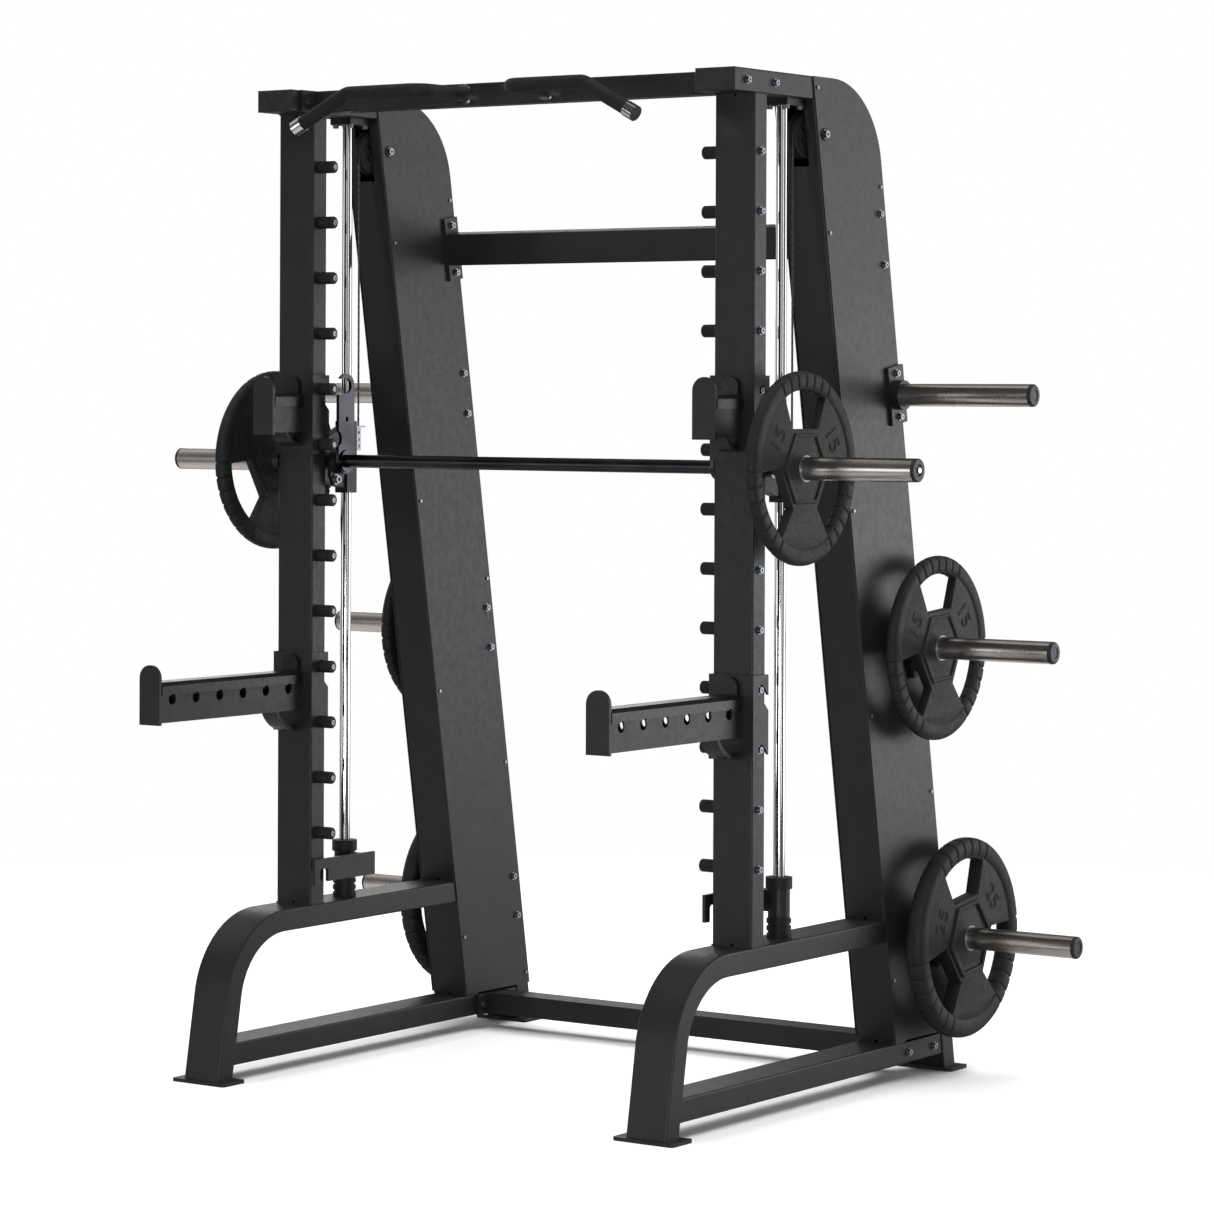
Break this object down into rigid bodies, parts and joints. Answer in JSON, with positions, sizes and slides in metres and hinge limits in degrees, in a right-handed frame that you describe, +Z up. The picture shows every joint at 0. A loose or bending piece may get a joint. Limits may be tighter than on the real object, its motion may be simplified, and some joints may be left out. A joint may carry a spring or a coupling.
{
  "type": "smith machine",
  "caption": "Smith machine frame with a counterweighted bar on guide rods, rack pins, J-hooks, spotter arms, pull-up handles and weight plates on storage horns",
  "frame": {"origin": "middle of the bounding box at floor level", "axes": "+Z up, +X to the right of a person facing the front, +Y to the back; mirror-symmetric about X = 0"},
  "size_m": [2.026, 1.5116, 2.23],
  "materials": {
    "frame_paint": "fine texture powder coat, black",
    "panel_paint": "fine texture powder coat, black",
    "chrome": "polished hard chrome",
    "stainless": "brushed stainless steel",
    "zinc": "bright zinc plate",
    "black_rubber": "matt black rubber",
    "plate_rubber": "moulded black rubber",
    "black_plastic": "black moulded plastic",
    "liner_plastic": "smooth black wear liner",
    "bar_black": "black coated bar",
    "carriage_black": "black powder coat",
    "cable_steel": "black plastic-covered steel cable",
    "cast_weight": "painted cast counterweight",
    "pulley_plastic": "nylon"
  },
  "bodies": {
    "frame": {"cables_front": "cable_steel", "cables_rear": "cable_steel", "column_panels_left": "panel_paint", "column_panels_right": "panel_paint", "column_tubes": "frame_paint", "foot_plates": "frame_paint", "frame_bolts": "zinc", "guide_rods": "chrome", "handle_trim": "chrome", "horn_caps": "black_plastic", "horn_mounts": "frame_paint", "leg_frame_left": "frame_paint", "leg_frame_right": "frame_paint", "lower_rails": "frame_paint", "panel_screws": "zinc", "pull_up_bars": "black_rubber", "rack_bolts": "zinc", "rack_pins": "black_rubber", "rail_caps": "black_plastic", "rear_crossbeam_lower": "frame_paint", "rear_crossbeam_upper": "frame_paint", "rear_tube_left": "frame_paint", "rear_tube_right": "frame_paint", "rod_bumpers": "black_rubber", "rod_mounts": "frame_paint", "top_crossbeam": "frame_paint", "upright_left": "frame_paint", "upright_right": "frame_paint", "weight_horns": "stainless"},
    "carriage": {"carriage_left": "carriage_black", "carriage_right": "carriage_black", "carriage_bushings": "black_plastic", "carriage_fittings": "zinc"},
    "bar": {"bar_shaft": "bar_black", "bar_hooks": "bar_black", "bar_sleeves": "stainless", "sleeve_collars": "chrome", "sleeve_caps": "black_plastic"},
    "bar_plate_left": {"bar_plate_left": "plate_rubber"},
    "middle_plate_left": {"middle_horn_plate_left": "plate_rubber"},
    "lower_plate_left": {"lower_horn_plate_left": "plate_rubber"},
    "counterweight_left": {"counterweight_left": "cast_weight"},
    "pulley_left": {"pulley_left": "pulley_plastic"},
    "jhook_left": {"jhook_left": "frame_paint", "jhook_liner_left": "liner_plastic"},
    "spotter_arm_left": {"spotter_arm_left": "frame_paint", "spotter_liner_left": "liner_plastic"},
    "safety_stop_left": {"safety_stop_left": "frame_paint", "stop_ring_left": "black_rubber"},
    "bar_plate_right": {"bar_plate_right": "plate_rubber"},
    "middle_plate_right": {"middle_horn_plate_right": "plate_rubber"},
    "lower_plate_right": {"lower_horn_plate_right": "plate_rubber"},
    "counterweight_right": {"counterweight_right": "cast_weight"},
    "pulley_right": {"pulley_right": "pulley_plastic"},
    "jhook_right": {"jhook_right": "frame_paint", "jhook_liner_right": "liner_plastic"},
    "spotter_arm_right": {"spotter_arm_right": "frame_paint", "spotter_liner_right": "liner_plastic"},
    "safety_stop_right": {"safety_stop_right": "frame_paint", "stop_ring_right": "black_rubber"}
  },
  "joints": [
    {"name": "carriage_lift", "type": "slide", "parent": "frame", "child": "carriage", "axis": [0, 0, 1], "range_m": [-0.8, 0.508], "deforming": ["cables_front", "cables_rear"]},
    {"name": "bar_turn", "type": "hinge", "parent": "carriage", "child": "bar", "pos_m": [0, -0.18083, 1.384], "axis": [1, 0, 0], "range_deg": [-12, 17.18]},
    {"name": "counterweight_slide_left", "type": "slide", "parent": "frame", "child": "counterweight_left", "axis": [0, -0.1678, 0.9858], "range_m": [-0.508, 0.8]},
    {"name": "pulley_turn_left", "type": "hinge", "parent": "frame", "child": "pulley_left", "pos_m": [-0.6, 0.02067, 2.106], "axis": [1, 0, 0], "continuous": true},
    {"name": "bar_plate_slide_left", "type": "slide", "parent": "bar", "child": "bar_plate_left", "axis": [-1, 0, 0], "range_m": [0, 0.33]},
    {"name": "middle_plate_slide_left", "type": "slide", "parent": "frame", "child": "middle_plate_left", "axis": [-1, 0, 0], "range_m": [0, 0.33]},
    {"name": "lower_plate_slide_left", "type": "slide", "parent": "frame", "child": "lower_plate_left", "axis": [-1, 0, 0], "range_m": [0, 0.33]},
    {"name": "jhook_lift_off_left", "type": "slide", "parent": "frame", "child": "jhook_left", "axis": [0, -0.7071, 0.7071], "range_m": [0, 0.12]},
    {"name": "spotter_lift_off_left", "type": "slide", "parent": "frame", "child": "spotter_arm_left", "axis": [0, -0.7071, 0.7071], "range_m": [0, 0.12]},
    {"name": "stop_swing_left", "type": "hinge", "parent": "frame", "child": "safety_stop_left", "pos_m": [-0.6, -0.07083, 0.444], "axis": [0, 0, 1], "range_deg": [0, 75]},
    {"name": "counterweight_slide_right", "type": "slide", "parent": "frame", "child": "counterweight_right", "axis": [0, -0.1678, 0.9858], "range_m": [-0.508, 0.8]},
    {"name": "pulley_turn_right", "type": "hinge", "parent": "frame", "child": "pulley_right", "pos_m": [0.6, 0.02067, 2.106], "axis": [1, 0, 0], "continuous": true},
    {"name": "bar_plate_slide_right", "type": "slide", "parent": "bar", "child": "bar_plate_right", "axis": [1, 0, 0], "range_m": [0, 0.33]},
    {"name": "middle_plate_slide_right", "type": "slide", "parent": "frame", "child": "middle_plate_right", "axis": [1, 0, 0], "range_m": [0, 0.33]},
    {"name": "lower_plate_slide_right", "type": "slide", "parent": "frame", "child": "lower_plate_right", "axis": [1, 0, 0], "range_m": [0, 0.33]},
    {"name": "jhook_lift_off_right", "type": "slide", "parent": "frame", "child": "jhook_right", "axis": [0, -0.7071, 0.7071], "range_m": [0, 0.12]},
    {"name": "spotter_lift_off_right", "type": "slide", "parent": "frame", "child": "spotter_arm_right", "axis": [0, -0.7071, 0.7071], "range_m": [0, 0.12]},
    {"name": "stop_swing_right", "type": "hinge", "parent": "frame", "child": "safety_stop_right", "pos_m": [0.6, -0.07083, 0.444], "axis": [0, 0, -1], "range_deg": [0, 75]}
  ],
  "couplings": [
    {"joint": "counterweight_slide_left", "follows": "carriage_lift", "ratio": -1},
    {"joint": "pulley_turn_left", "follows": "carriage_lift", "rad_per_m": -21.739},
    {"joint": "counterweight_slide_right", "follows": "carriage_lift", "ratio": -1},
    {"joint": "pulley_turn_right", "follows": "carriage_lift", "rad_per_m": -21.739}
  ]
}
